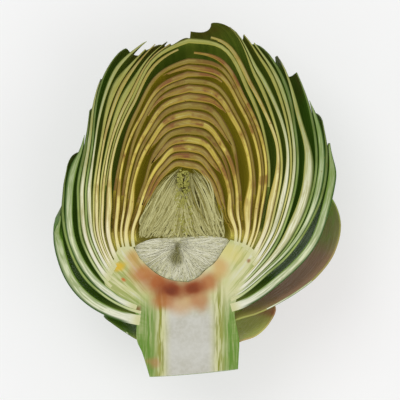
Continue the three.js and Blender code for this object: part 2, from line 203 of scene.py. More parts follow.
def smooth(places, heights, at):
    """Smooth curve through given heights at given places."""
    places, heights = np.asarray(places, float), np.asarray(heights, float)
    last = len(places) - 1
    i = np.clip(np.searchsorted(places, at, side="left") - 1, 0, last - 1)

    def slope(j):
        before, after = np.maximum(j - 1, 0), np.minimum(j + 1, last)
        return (heights[after] - heights[before]) / (places[after] - places[before])

    span = places[i + 1] - places[i]
    t = (at - places[i]) / span
    curve = (
        heights[i] * (1 + 2 * t) * (1 - t) ** 2
        + heights[i + 1] * t * t * (3 - 2 * t)
        + span * (slope(i) * t * (1 - t) ** 2 + slope(i + 1) * t * t * (t - 1))
    )
    return np.where(t > 1, heights[i + 1] + slope(i + 1) * span * (t - 1), curve)


def straight(places, heights, at):
    """Straight lines through given heights at given places, carried on past both ends."""
    places, heights = np.asarray(places, float), np.asarray(heights, float)
    i = np.clip(np.searchsorted(places, at, side="left") - 1, 0, len(places) - 2)
    t = (at - places[i]) / (places[i + 1] - places[i])
    return heights[i] + (heights[i + 1] - heights[i]) * t


def mix(first, second, share):
    return first + (second - first) * share


def ease(value, low, high):
    t = np.clip((value - low) / (high - low), 0, 1)
    return t * t * (3 - 2 * t)


def finer(outline, steps):
    """An outline with more points, smooth between its marks."""
    marks = np.array(outline, float)
    run = np.concatenate([[0], np.cumsum(np.hypot(*np.diff(marks, axis=0).T))])
    share = run / run[-1]
    at = np.linspace(0, 1, steps)
    return np.stack([smooth(share, marks[:, 0], at), smooth(share, marks[:, 1], at)], -1)


def right_share(azimuth):
    return (1 + np.cos(azimuth)) / 2


def layer_radius(order, polar, azimuth):
    """A layer's radius in a direction from the heart's middle."""
    angle = np.abs(np.degrees(polar))
    share = right_share(azimuth)
    rows = [
        mix(smooth(STATIONS, left, angle), smooth(STATIONS, right, angle), share)
        for left, right in zip(LAYERS_LEFT, LAYERS_RIGHT)
    ]
    rows = np.stack(np.broadcast_arrays(*rows))
    order = np.broadcast_to(np.asarray(order, float), rows.shape[1:])
    orders = np.asarray(LAYER_ORDERS, float)
    i = np.clip(np.searchsorted(orders, order, side="left") - 1, 0, len(orders) - 2)
    t = (order - orders[i]) / (orders[i + 1] - orders[i])
    inner = np.take_along_axis(rows, (i + 1)[None], 0)[0]
    outer = np.take_along_axis(rows, i[None], 0)[0]
    return outer + (inner - outer) * t


def heart_radius(polar, azimuth):
    """The heart's outer wall in the same directions, nothing above its rim."""
    found = []
    for wall in (HEART_LEFT[1:], HEART_RIGHT[1:]):
        angles = [math.atan2(across, height) for across, height in wall]
        radii = [math.hypot(across, height) for across, height in wall]
        found.append(np.where(polar < angles[0], 0, straight(angles, radii, polar)))
    return mix(found[0], found[1], right_share(azimuth))


def outline_share(along, roundness):
    """Width of a bract along its length, as a share of its widest."""
    belly = 0.84 + 0.16 * np.sin(np.pi * np.minimum(along / 0.7, 1))
    taper = np.maximum(along - 0.4, 0) / 0.6
    return np.maximum(belly * (1 - taper * taper) ** roundness, 0.05)


def directions(azimuth, polar, lateral):
    """Unit vectors at an angle from the tip along a bract's middle line, and an angle out to its side."""
    side, out = np.sin(lateral), np.cos(lateral)
    return np.stack([
        out * np.sin(polar) * math.cos(azimuth) - side * math.sin(azimuth),
        out * np.cos(polar),
        -out * np.sin(polar) * math.sin(azimuth) - side * math.cos(azimuth),
    ], -1)


def grown(points):
    """The back as full as it grew."""
    points = points.copy()
    points[..., 2] *= 1 + FULLNESS * (FULLNESS_FROM - points[..., 1])
    return points


def settled(points):
    """Points round the heart's middle as places in the part's frame, in metres."""
    return (points + HEART_PLACE) * MM


azimuths = []
turn = 0
while len(azimuths) < BRACT_COUNT:
    azimuth = math.radians(FIRST_AZIMUTH + GOLDEN_ANGLE * turn)
    side = round(azimuth / math.pi) * math.pi
    crowded = abs(azimuth - side) < math.radians(CROWDED_WITHIN)
    if math.sin(azimuth) > -math.sin(math.radians(ROOT_REACH)):
        azimuths.append(mix(side, azimuth, CROWDED_SHARE) if crowded else azimuth)
    turn += 1


# Side of the cut on which each bract stands, -1 left, 1 right, and 0 on the back.
# Those on the back are broad, and their edges reach round to the cut, but the outermost lies under the rest.
bract_sides = [round(math.cos(azimuth) * 0.7) for azimuth in azimuths]
broad_orders = [order for order in range(1, BRACT_COUNT) if bract_sides[order] == 0]


def neighbours(order, side):
    """The next bracts outwards and inwards on one side of the cut."""
    own = [k for k in range(BRACT_COUNT) if bract_sides[k] == side]
    return max(k for k in own if k < order), min(k for k in own if k > order)


def broad_radius(order, polar, azimuth):
    """Outer radius of a broad bract: its own layer on the back, close over the next bract near the cut."""
    close = []
    for side in (-1, 1):
        outer, inner = (layer_radius(k, polar, azimuth) for k in neighbours(order, side))
        close.append(inner + np.minimum(MARGIN_SHARE * (outer - inner), MARGIN_MOST))
    close = np.where(np.cos(azimuth) > 0, close[1], close[0])
    near_cut = ease(np.abs(np.cos(azimuth)), math.cos(math.radians(52)), math.cos(math.radians(24)))
    near_cut = near_cut * ease(polar, math.radians(22), math.radians(48))
    return mix(layer_radius(order, polar, azimuth), close, near_cut)


def next_radius(order, polar, azimuth):
    """Outer radius of the next bract inwards that covers a direction."""
    reach = np.arctan2(math.tan(math.radians(HALF_WIDTH + 4)), np.sin(polar))
    found = layer_radius(order + 2, polar, azimuth)
    bare = np.ones(found.shape, bool)
    for k in range(order + 1, BRACT_COUNT):
        apart = np.abs(np.arctan2(np.sin(azimuths[k] - azimuth), np.cos(azimuths[k] - azimuth)))
        broad = k in broad_orders
        here = bare & ((apart < reach) | broad)
        found[here] = (broad_radius if broad else layer_radius)(k, polar, azimuth)[here]
        bare &= ~here
        if not bare.any():
            break
    return found


# Handling of pieces


def alone(piece):
    """Only this piece is selected and active."""
    bpy.ops.object.select_all(action="DESELECT")
    piece.select_set(True)
    bpy.context.view_layer.objects.active = piece


@contextmanager
def edited(piece):
    """The piece in edit mode with all of it selected."""
    alone(piece)
    bpy.ops.object.mode_set(mode="EDIT")
    bpy.ops.mesh.select_mode(type="VERT")
    bpy.ops.mesh.select_all(action="SELECT")
    yield
    bpy.ops.object.mode_set(mode="OBJECT")


def grid_piece(name, columns, rows):
    """A flat grid, and the place of its points across and along it, from 0 to 1."""
    bpy.ops.object.select_all(action="DESELECT")
    bpy.ops.mesh.primitive_grid_add(x_subdivisions=columns, y_subdivisions=rows, size=2)
    piece = bpy.context.object
    piece.name = name
    piece.data.name = name
    flat = np.empty(len(piece.data.vertices) * 3)
    piece.data.vertices.foreach_get("co", flat)
    flat = flat.reshape(-1, 3)
    return piece, (flat[:, 0] + 1) / 2, (flat[:, 1] + 1) / 2


def sheet_piece(name, points, thickness, leaf):
    """A grid laid over the given points and thickened inwards, with each point's place on the leaf kept."""
    rows, columns = points.shape[0] - 1, points.shape[1] - 1
    piece, across, along = grid_piece(name, columns, rows)
    mesh = piece.data
    count = len(mesh.vertices)
    j = np.rint(across * columns).astype(int)
    i = np.rint(along * rows).astype(int)
    mesh.vertices.foreach_set("co", settled(points[i, j]).ravel())
    place = mesh.attributes.new("leaf", "FLOAT_VECTOR", "POINT")
    place.data.foreach_set("vector", leaf[i, j].ravel())
    group = piece.vertex_groups.new(name="thickness")
    most = float(thickness.max())
    for index, value in enumerate(thickness[i, j] / most):
        group.add([index], float(value), "REPLACE")
    mesh.update()
    middle = mesh.polygons[len(mesh.polygons) // 2]
    outwards = Vector(middle.center) - Vector(HEART_PLACE * MM)
    if middle.normal.dot(outwards) < 0:
        with edited(piece):
            bpy.ops.mesh.flip_normals()
    solid = piece.modifiers.new("wall", "SOLIDIFY")
    solid.thickness = most * MM
    solid.offset = -1
    solid.vertex_group = "thickness"
    solid.use_even_offset = False
    alone(piece)
    bpy.ops.object.modifier_apply(modifier="wall")
    mesh = piece.data
    values = np.empty(len(mesh.vertices) * 3)
    mesh.attributes["leaf"].data.foreach_get("vector", values)
    values = values.reshape(-1, 3)
    values[:count, 2] = 0
    values[count:, 2] = 1
    mesh.attributes["leaf"].data.foreach_set("vector", values.ravel())
    piece.vertex_groups.clear()
    return piece


def slice_off(piece, place, normal):
    """Cuts away what lies past a plane and closes the cut."""
    with edited(piece):
        bpy.ops.mesh.bisect(plane_co=place, plane_no=normal, use_fill=True, clear_outer=True, threshold=1e-7)


def keep_largest(piece):
    """Crumbs that a cut leaves are dropped."""
    name = piece.name
    with edited(piece):
        bpy.ops.mesh.separate(type="LOOSE")
    pieces = sorted(bpy.context.selected_objects, key=lambda found: len(found.data.vertices))
    for crumb in pieces[:-1]:
        bpy.data.objects.remove(crumb)
    pieces[-1].name = name
    return pieces[-1]


def finish_cut(piece, skin, flesh):
    """The cut face gets its own finish, and is split so that its colours run across the wall."""
    mesh = piece.data
    mesh.materials.clear()
    mesh.materials.append(skin)
    mesh.materials.append(flesh)
    alone(piece)
    bpy.ops.object.mode_set(mode="EDIT")
    bpy.ops.mesh.select_mode(type="FACE")
    bpy.ops.mesh.select_all(action="DESELECT")
    bpy.ops.object.mode_set(mode="OBJECT")
    for face in mesh.polygons:
        level = all(abs(mesh.vertices[v].co.z - CUT_HEIGHT) < 3e-5 for v in face.vertices)
        top = face.normal.z > 0.9 and level
        face.select = top
        face.material_index = 1 if top else 0
    bpy.ops.object.mode_set(mode="EDIT")
    bpy.ops.mesh.quads_convert_to_tris(quad_method="BEAUTY", ngon_method="BEAUTY")
    bpy.ops.object.mode_set(mode="OBJECT")
    bpy.ops.object.shade_smooth_by_angle(angle=math.radians(40))


def finish_piece(piece, node):
    """The piece moves with the part's body and stands for one of its nodes."""
    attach(piece, "root")
    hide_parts(node)


def cut_leaf(name, shape, skin, flesh, node):
    """A finished leaf from its points, walls and own measures, cut level with the rest."""
    piece = sheet_piece(name, *shape)
    slice_off(piece, (0, 0, CUT_HEIGHT), (0, 0, 1))
    slice_off(piece, (0, 0, 0), (0, 0, -1))
    piece = keep_largest(piece)
    finish_cut(piece, skin, flesh)
    finish_piece(piece, node)


def rod_mesh(paths, radii, sides):
    """Slim closed rods along the given paths, as points and faces."""
    points, faces = [], []
    for path, radius in zip(paths, radii):
        first = len(points)
        rings = len(path)
        for k in range(rings):
            ahead = path[min(k + 1, rings - 1)] - path[max(k - 1, 0)]
            ahead = ahead / max(np.linalg.norm(ahead), 1e-9)
            across = np.cross(ahead, [0.13, 0.21, 0.97])
            across /= max(np.linalg.norm(across), 1e-9)
            over = np.cross(across, ahead)
            for s in range(sides):
                round_ = 2 * math.pi * s / sides
                points.append(path[k] + radius[k] * (math.cos(round_) * across + math.sin(round_) * over))
        for k in range(rings - 1):
            for s in range(sides):
                a, b = first + k * sides + s, first + k * sides + (s + 1) % sides
                faces.append((a, a + sides, b + sides, b))
        faces.append(tuple(first + s for s in range(sides)))
        last = first + (rings - 1) * sides
        faces.append(tuple(last + s for s in reversed(range(sides))))
    return points, faces


def rods_piece(name, rods, sides, finish, node):
    """One finished piece of many rods, each given by its path, radii and tone."""
    paths, radii, tones = zip(*rods)
    points, faces = rod_mesh(paths, radii, sides)
    mesh = bpy.data.meshes.new(name)
    mesh.from_pydata([tuple(p) for p in settled(np.array(points))], [], faces)
    shades = np.concatenate([np.full(len(path) * sides, tone) for path, tone in zip(paths, tones)])
    runs = np.concatenate([np.repeat(np.arange(len(path)) / (len(path) - 1), sides) for path in paths])
    for label, values in (("tone", shades), ("along", runs)):
        mesh.attributes.new(label, "FLOAT", "POINT").data.foreach_set("value", values)
    mesh.update()
    piece = bpy.data.objects.new(name, mesh)
    bpy.context.scene.collection.objects.link(piece)
    alone(piece)
    bpy.ops.object.shade_smooth()
    mesh.materials.append(finish)
    finish_piece(piece, node)


# Finishes


def tint(red, green, blue):
    """A colour as the eye reads it, on 0 to 255, as the light it stands for."""
    def light(value):
        value /= 255
        return value / 12.92 if value <= 0.04045 else ((value + 0.055) / 1.055) ** 2.4
    return (light(red), light(green), light(blue), 1)


class Nodes:
    """Short hand for placing and linking shader nodes in one tree."""

    def __init__(self, tree):
        self.tree = tree

    def add(self, kind, inputs=None, **settings):
        node = self.tree.nodes.new(kind)
        for key, value in settings.items():
            setattr(node, key, value)
        for key, value in (inputs or {}).items():
            socket = node.inputs[key]
            if isinstance(value, bpy.types.NodeSocket):
                self.tree.links.new(value, socket)
            else:
                socket.default_value = value
        return node

    def maths(self, operation, first, second=0.5):
        return self.add("ShaderNodeMath", {0: first, 1: second}, operation=operation).outputs[0]

    def times(self, first, second):
        return self.maths("MULTIPLY", first, second)

    def less(self, first, second):
        return self.maths("SUBTRACT", first, second)

    def reach(self, first, second):
        """Distance from the origin of two measures square to each other."""
        return self.maths("SQRT", self.maths("ADD", self.times(first, first), self.times(second, second)))

    def blend(self, share, first, second):
        """Two colours blended, each one a socket or a colour on 0 to 255."""
        first, second = (
            value if isinstance(value, bpy.types.NodeSocket) else tint(*value) for value in (first, second)
        )
        return self.add("ShaderNodeMix", {0: share, 6: first, 7: second}, data_type="RGBA").outputs[2]

    def between(self, value, low, high, to_low=0.0, to_high=1.0):
        node = self.add("ShaderNodeMapRange", {0: value, 1: low, 2: high, 3: to_low, 4: to_high})
        node.interpolation_type = "SMOOTHSTEP"
        return node.outputs[0]

    def noise(self, vector, scale, detail=3.0, roughness=0.55):
        return self.add(
            "ShaderNodeTexNoise",
            {"Vector": vector, "Scale": scale, "Detail": detail, "Roughness": roughness},
        ).outputs["Fac"]

    def vector(self, x, y, z):
        return self.add("ShaderNodeCombineXYZ", {0: x, 1: y, 2: z}).outputs[0]

    def split(self, vector):
        node = self.add("ShaderNodeSeparateXYZ", {0: vector})
        return node.outputs[0], node.outputs[1], node.outputs[2]

    def vectors(self, operation, first, second):
        return self.add("ShaderNodeVectorMath", {0: first, 1: second}, operation=operation).outputs[0]

    def attribute(self, name, output):
        return self.add("ShaderNodeAttribute", attribute_name=name).outputs[output]

    def where(self):
        """The place on the object."""
        return self.add("ShaderNodeTexCoord").outputs["Object"]

    def mottled(self, scale, low, high):
        """Soft patches: their scale and where they start and end."""
        inputs = {"Scale": scale, "Low": low, "High": high}
        return self.add("ShaderNodeGroup", inputs, node_tree=mottle).outputs[0]

    def fibred(self, across, along, depth, density, wander):
        """Broad and fine fibres of a leaf."""
        inputs = {"Across": across, "Along": along, "Depth": depth, "Density": density, "Wander": wander}
        group = self.add("ShaderNodeGroup", inputs, node_tree=fibres)
        return group.outputs["Mask"], group.outputs["Fine"]

    def dress(self, shader, colour, height, strength, distance):
        """Colour and fine relief of a finish."""
        bump = self.add("ShaderNodeBump", {"Height": height, "Strength": strength, "Distance": distance})
        self.tree.links.new(colour, shader.inputs["Base Color"])
        self.tree.links.new(bump.outputs[0], shader.inputs["Normal"])


def new_group(name, inputs, outputs):
    """A node group with named numbers going in and coming out."""
    group = bpy.data.node_groups.new(name, "ShaderNodeTree")
    for label, value in inputs.items():
        socket = group.interface.new_socket(label, in_out="INPUT", socket_type="NodeSocketFloat")
        socket.default_value = value
    for label in outputs:
        group.interface.new_socket(label, in_out="OUTPUT", socket_type="NodeSocketFloat")
    start = group.nodes.new("NodeGroupInput")
    end = group.nodes.new("NodeGroupOutput")
    return group, Nodes(group), start, end


def make_fibres():
    """Fine fibres that run the length of a leaf: across and along are its own measures."""
    group, nodes, start, end = new_group(
        "fibres",
        {"Across": 0.0, "Along": 0.0, "Depth": 0.0, "Density": 30.0, "Wander": 1.5},
        ["Mask", "Fine"],
    )
    wide = nodes.times(start.outputs["Across"], start.outputs["Density"])
    run = nodes.times(start.outputs["Along"], start.outputs["Wander"])
    place = nodes.vector(wide, run, nodes.times(start.outputs["Depth"], 3.0))
    coarse = nodes.noise(place, 1.0, 2.0)
    fine = nodes.noise(place, 3.1, 2.0)
    group.links.new(nodes.between(coarse, 0.42, 0.62), end.inputs["Mask"])
    group.links.new(nodes.between(fine, 0.38, 0.62), end.inputs["Fine"])
    return group


def make_mottle():
    """Soft uneven patches of growth, on the object's own coordinates."""
    group, nodes, start, end = new_group("mottle", {"Scale": 90.0, "Low": 0.42, "High": 0.62}, ["Mask"])
    spots = nodes.noise(nodes.where(), start.outputs["Scale"], 4.0)
    node = nodes.add("ShaderNodeMapRange", {0: spots, 1: start.outputs["Low"], 2: start.outputs["High"]})
    group.links.new(node.outputs[0], end.inputs["Mask"])
    return group


fibres = make_fibres()
mottle = make_mottle()


def new_finish(name, roughness, coat=0.0):
    """A material with its shader and its nodes."""
    material = bpy.data.materials.new(name)
    material.use_nodes = True
    tree = material.node_tree
    tree.nodes.clear()
    nodes = Nodes(tree)
    shader = nodes.add("ShaderNodeBsdfPrincipled", {
        "Roughness": roughness, "Coat Weight": coat, "Coat Roughness": 0.25, "Specular IOR Level": 0.2,
    })
    nodes.add("ShaderNodeOutputMaterial", {0: shader.outputs[0]})
    return material, nodes, shader


def leaf_skin(name, outside, outside_dark, inside, root, tip, vein, tip_from=0.9):
    """The skin of a bract: fibres along it, pale at the root, dark or dry at the tip, paler inside."""
    material, nodes, shader = new_finish(name, SKIN_ROUGHNESS)
    across, along, depth = nodes.split(nodes.attribute("leaf", "Vector"))
    broad, fine = nodes.fibred(across, along, depth, 14.0, 2.2)
    patches = nodes.mottled(70.0, 0.38, 0.66)
    colour = nodes.blend(patches, outside, outside_dark)
    colour = nodes.blend(nodes.between(depth, 0.35, 0.65), colour, inside)
    colour = nodes.blend(nodes.times(broad, 0.45), colour, vein)
    colour = nodes.blend(nodes.times(fine, 0.25), colour, outside_dark)
    colour = nodes.blend(nodes.between(along, 0.34, 0.02), colour, root)
    edge = nodes.between(nodes.maths("ABSOLUTE", across), 0.9, 1.0, 0.0, 0.55)
    dry = nodes.maths("MAXIMUM", nodes.between(along, tip_from, min(tip_from + 0.16, 1.0)), edge)
    dry = nodes.times(dry, nodes.between(patches, 0.0, 1.0, 0.45, 1.0))
    colour = nodes.blend(dry, colour, tip)
    nodes.dress(shader, colour, nodes.maths("ADD", broad, nodes.times(fine, 0.5)), 0.35, 0.0002)
    gloss = nodes.between(fine, 0.0, 1.0, SKIN_ROUGHNESS - 0.06, SKIN_ROUGHNESS + 0.1)
    nodes.tree.links.new(gloss, shader.inputs["Roughness"])
    # Painted glow: the skin gives off light in its own colour, standing in for light that comes through the
    # leaf
    nodes.tree.links.new(colour, shader.inputs["Emission Color"])
    shader.inputs["Emission Strength"].default_value = PAINTED_SKIN_GLOW
    return material


def leaf_flesh(name, root, middle, tip, rim_out, rim_in, stain, stained):
    """A cut bract: pale moist flesh between two darker skins, with fibres, browning and brown specks."""
    material, nodes, shader = new_finish(name, SKIN_ROUGHNESS, coat=0.05)
    across, along, depth = nodes.split(nodes.attribute("leaf", "Vector"))
    broad, fine = nodes.fibred(depth, along, across, 5.0, 7.0)
    colour = nodes.blend(nodes.between(along, 0.05, 0.5), root, middle)
    colour = nodes.blend(nodes.between(along, 0.5, 0.92), colour, tip)
    colour = nodes.blend(nodes.times(fine, 0.3), colour, root)
    browned = nodes.times(nodes.mottled(150.0, 0.5, 0.62), nodes.between(along, 0.1, 0.55, 0.0, stained))
    colour = nodes.blend(browned, colour, stain)
    # Bracts are brownest where they fold over the apex
    colour = nodes.blend(nodes.between(along, 0.72, 0.9, 0.0, stained * 0.5), colour, stain)
    lines = nodes.times(broad, nodes.between(along, 0.03, 0.3, 0.1, 0.6))
    colour = nodes.blend(lines, colour, rim_in)
    grown_out = nodes.between(along, 0.02, 0.14)
    colour = nodes.blend(nodes.times(nodes.between(depth, 0.34, 0.06), grown_out), colour, rim_out)
    colour = nodes.blend(nodes.times(nodes.between(depth, 0.74, 0.98), grown_out), colour, rim_in)
    colour = nodes.blend(nodes.times(nodes.mottled(620.0, 0.66, 0.72), 0.55), colour, stain)
    # The foot is grown into the heart and has its colour
    colour = nodes.blend(nodes.between(along, 0.09, 0.01), colour, (206, 205, 154))
    nodes.dress(shader, colour, fine, 0.3, 0.0001)
    return material


# Colours of the skins: outside and its dark patches, inside, root, tip and veins.
# Colours of the flesh: root, middle, tip, outer and inner rim, and stain with its strength.
green_skin = leaf_skin(
    "green_skin", (76, 112, 28), (46, 78, 14), (70, 102, 26),
    (156, 170, 82), (76, 72, 26), (94, 126, 40),
)
leafy_skin = leaf_skin(
    "leafy_skin", (96, 116, 32), (64, 84, 20), (84, 104, 30),
    (182, 180, 96), (88, 76, 28), (122, 136, 46),
)
olive_skin = leaf_skin(
    "olive_skin", (146, 138, 34), (104, 96, 22), (150, 138, 32),
    (194, 184, 84), (112, 76, 28), (170, 158, 48),
)
purple_skin = leaf_skin(
    "purple_skin", (172, 126, 98), (124, 84, 64), (168, 126, 98),
    (158, 152, 86), (126, 164, 50), (170, 140, 100), tip_from=0.62,
)
ripe_skin = leaf_skin(
    "ripe_skin", (174, 184, 92), (146, 158, 66), (182, 192, 100),
    (190, 194, 122), (160, 98, 80), (196, 196, 120), tip_from=0.66,
)
outer_flesh = leaf_flesh(
    "outer_flesh", (232, 232, 210), (214, 220, 178), (118, 146, 66),
    (50, 84, 14), (104, 132, 44), (124, 118, 44), 0.18,
)
pale_flesh = leaf_flesh(
    "pale_flesh", (238, 235, 216), (230, 228, 194), (138, 154, 74),
    (84, 98, 24), (156, 156, 72), (150, 128, 54), 0.28,
)
olive_flesh = leaf_flesh(
    "olive_flesh", (240, 233, 200), (230, 220, 146), (142, 140, 52),
    (106, 88, 18), (176, 158, 58), (140, 98, 34), 0.55,
)
golden_flesh = leaf_flesh(
    "golden_flesh", (238, 226, 158), (214, 196, 76), (120, 106, 22),
    (102, 72, 18), (162, 136, 38), (120, 64, 34), 0.9,
)
green_margin = leaf_flesh(
    "green_margin", (200, 208, 152), (152, 170, 84), (66, 92, 22),
    (56, 84, 16), (90, 118, 34), (104, 92, 32), 0.4,
)
leafy_margin = leaf_flesh(
    "leafy_margin", (224, 218, 160), (202, 198, 108), (138, 146, 60),
    (90, 96, 22), (160, 154, 62), (128, 114, 46), 0.35,
)
olive_margin = leaf_flesh(
    "olive_margin", (222, 212, 138), (192, 174, 62), (124, 110, 24),
    (98, 74, 18), (138, 116, 28), (110, 70, 24), 0.8,
)
# Finishes of the bracts from the outermost in: the order they start at, skin and cut flesh
BRACT_FINISHES = [
    (0, green_skin, outer_flesh), (6, green_skin, pale_flesh), (10, leafy_skin, pale_flesh),
    (14, leafy_skin, olive_flesh), (20, olive_skin, golden_flesh),
]
# Cut edges of the broad bracts in the same way
MARGIN_FINISHES = [(0, green_margin), (12, leafy_margin), (21, olive_margin)]


# Bracts of the spiral


def tip_angle(order):
    return math.radians(SHORT_TIPS.get(order, float(straight(TIP_ORDERS, TIP_ANGLES, order))))


def bearings(way):
    """The angle of a direction from the tip, and its azimuth."""
    return np.arccos(np.clip(way[..., 1], -1, 1)), np.arctan2(-way[..., 2], way[..., 0])


def leaf_grid(columns, rows):
    """Measures along a leaf from 0 to 1 and across it from -1 to 1."""
    return np.meshgrid(np.linspace(0, 1, rows + 1), np.linspace(-1, 1, columns + 1), indexing="ij")


def measures(order, way, edge):
    """Outer radius and wall of a bract in given directions, and how far it stands clear of the heart."""
    angle, around = bearings(way)
    broad = order in broad_orders
    own_radius = broad_radius if broad else layer_radius
    radius = own_radius(order, angle, around)
    # Walls are measured square to the leaf, the room along the radius
    level = np.hypot(1, (own_radius(order, angle + 0.05, around) - radius) / 0.05 / radius)
    beside = ease(np.degrees(angle), 15, 32) if broad else ease(np.degrees(angle), 50, 78)
    room = radius - mix(layer_radius(order + 1, angle, around), next_radius(order, angle, around), beside)
    share = mix(FOLDED_SHARE, FILLED_SHARE, beside) / level
    least = MARGIN_LEAST if broad else LEAST_THICKNESS
    wanted = np.minimum(share * room, SLIM_WALLS.get(order, MOST_THICKNESS))
    wall = np.maximum(mix(wanted, LEAST_THICKNESS, edge), least)
    clear = radius - wall * level + ROOT_DEPTH - heart_radius(angle, around)
    return radius, wall, clear


def rooted(order, ways, edge):
    """The angle from the tip at which a bract first clears the heart, for each place across it."""
    clear = measures(order, ways, edge)[2]
    return ROOT_TRIES[np.argmax(clear >= 0, axis=0)] + math.radians(ROOT_DIP)


def settled_leaf(order, way, edge, along, across):
    """Points, walls and own measures of a leaf, with smooth walls, wavering edges and a thin tip."""
    radius, wall, _ = measures(order, way, edge)
    # Thinned to the least of the neighbouring places first, so that the smoothing nowhere fills the gap
    for _ in range(3):
        wall[:, 1:-1] = np.minimum(np.minimum(wall[:, :-2], wall[:, 2:]), wall[:, 1:-1])
    for _ in range(3):
        wall[:, 1:-1] = (wall[:, :-2] + 2 * wall[:, 1:-1] + wall[:, 2:]) / 4
        wall[1:-1] = (wall[:-2] + 2 * wall[1:-1] + wall[2:]) / 4
    wall = wall * mix(1, THIN_TIP, ease(along, 0.86, 1))
    if order < FOLDED_FROM:
        # Tips close over the next bract
        resting = np.minimum(radius, next_radius(order, *bearings(way)) + 1.3 * wall + 0.1)
        radius = mix(radius, resting, ease(along, 0.6, 0.92))
    ripple = np.abs(across) ** 3 * np.sin(along * 17 + order * 2.4) * ease(along, 0.1, 0.4)
    radius = radius + EDGE_RIPPLE * ripple
    return grown(way * radius[..., None]), wall, np.stack([across, along, np.zeros_like(along)], -1)


def narrow_bract(order, azimuth, half_width, tip, roundness, columns, rows):
    """A bract laid along its middle line, as wide to both sides as its outline."""
    along, across = leaf_grid(columns, rows)
    lateral = np.minimum(half_width * outline_share(along, roundness), MOST_REACH) * across
    reach = min(half_width, MOST_REACH)
    places = np.linspace(-reach, reach, 31)
    polars, laterals = np.meshgrid(ROOT_TRIES, places, indexing="ij")
    roots = rooted(order, directions(azimuth, polars, laterals), (laterals / reach) ** 2)
    polar = mix(np.interp(lateral, places, roots), tip, along)
    edge = 0 * across if order in broad_orders else ease(np.abs(across), 0.86, 1)
    return settled_leaf(order, directions(azimuth, polar, lateral), edge, along, across)


def broad_bract(order, columns, rows):
    """A bract that reaches round from cut to cut, highest in its middle."""
    along, across = leaf_grid(columns, rows)
    around = math.pi / 2 - across * (math.pi / 2 + 0.1)
    ends = [sum(tip_angle(k) for k in neighbours(order, side)) / 2 for side in (-1, 1)]
    tip = mix(tip_angle(order), np.where(across > 0, ends[1], ends[0]), np.abs(across) ** 1.3)
    tip = tip + math.radians(EDGE_WAVE) * (np.sin(around * 5 + order) + ease(np.abs(across), 0.8, 1))

    def turned(polar, around):
        return np.stack([np.sin(polar) * np.cos(around), np.cos(polar), -np.sin(polar) * np.sin(around)], -1)

    polars, arounds = np.meshgrid(ROOT_TRIES, around[0], indexing="ij")
    roots = rooted(order, turned(polars, arounds), 0 * polars)
    return settled_leaf(order, turned(mix(roots, tip, along), around), 0 * across, along, across)


def folded_bract(order, width):
    """A broad bract folded over the apex from the back."""
    tip = math.radians(BROAD_TIP)
    return narrow_bract(order, math.pi / 2, math.radians(width), tip, FOLDED_TIP, *FOLDED_STEPS)


def latest(finishes, order):
    """The last finish in a list that starts at or before a bract's order."""
    return [finish[1:] for finish in finishes if finish[0] <= order][-1]


for order, azimuth in enumerate(azimuths):
    name = f"bract_{order + 1:02d}"
    skin, flesh = latest(BRACT_FINISHES, order)
    if order not in broad_orders:
        roundness = OUTER_TIP if order < OUTER_COUNT else INNER_TIP
        half_width = math.radians(HALF_WIDTH)
        shape = narrow_bract(order, azimuth, half_width, tip_angle(order), roundness, *NARROW_STEPS)
    else:
        flesh, = latest(MARGIN_FINISHES, order)
        shape = broad_bract(order, *BROAD_STEPS) if order < FOLDED_FROM else folded_bract(order, BROAD_WIDTH)
    cut_leaf("leaf_" + name, shape, skin, flesh, name)

for order in YOUNG_ORDERS:
    name = f"young_bract_{order - BRACT_COUNT + 1:02d}"
    shape = folded_bract(order, YOUNG_WIDTH)
    cut_leaf(name, shape, olive_skin, golden_flesh, f"bract_{BRACT_COUNT:02d}")


# Free-standing bracts at the foot of the head


def outer_bract(azimuth, half_width, thickness, line, columns, rows):
    """A bract that stands off the head along its own middle line."""
    out, height = finer(line, rows + 1).T
    along, across = leaf_grid(columns, rows)
    around = np.radians(azimuth + half_width * outline_share(along, OUTER_TIP) * across)
    wall = mix(thickness, LEAST_THICKNESS, across * across)
    out, height = out[:, None], height[:, None] + 0 * around
    points = np.stack([out * np.cos(around), height, -out * np.sin(around)], -1)
    return grown(points), wall, np.stack([across, along, np.zeros_like(along)], -1)


OUTER_SKINS = {"bract_spread_right": purple_skin, "bract_low_right": ripe_skin}
for name, azimuth, half_width, thickness, line in OUTER_BRACTS:
    shape = outer_bract(azimuth, half_width, thickness, line, *OUTER_STEPS)
    cut_leaf("leaf_" + name, shape, OUTER_SKINS.get(name, green_skin), outer_flesh, name)


# Heart, choke and florets are turned round the axis between a left and a right outline


def turned_half(name, left, right, segments, core_shift=0.0):
    """Half a turned body under the cut face, closed on the axis and on the cut."""
    rows = len(left) - 1
    piece, across, along = grid_piece(name, segments, rows)
    azimuth = across * math.pi
    i = np.rint(along * rows).astype(int)
    share = right_share(azimuth)
    across = mix(left[i, 0], right[i, 0], share)
    height = mix(left[i, 1], right[i, 1], share)
    points = np.stack([across * np.cos(azimuth), height, -across * np.sin(azimuth) - core_shift], -1)
    piece.data.vertices.foreach_set("co", settled(grown(points)).ravel())
    piece.data.update()
    with edited(piece):
        bpy.ops.mesh.remove_doubles(threshold=1e-6)
        bpy.ops.mesh.select_all(action="DESELECT")
        bpy.ops.mesh.select_non_manifold()
        bpy.ops.mesh.edge_face_add()
        bpy.ops.mesh.select_all(action="SELECT")
        bpy.ops.mesh.normals_make_consistent(inside=False)
    return piece


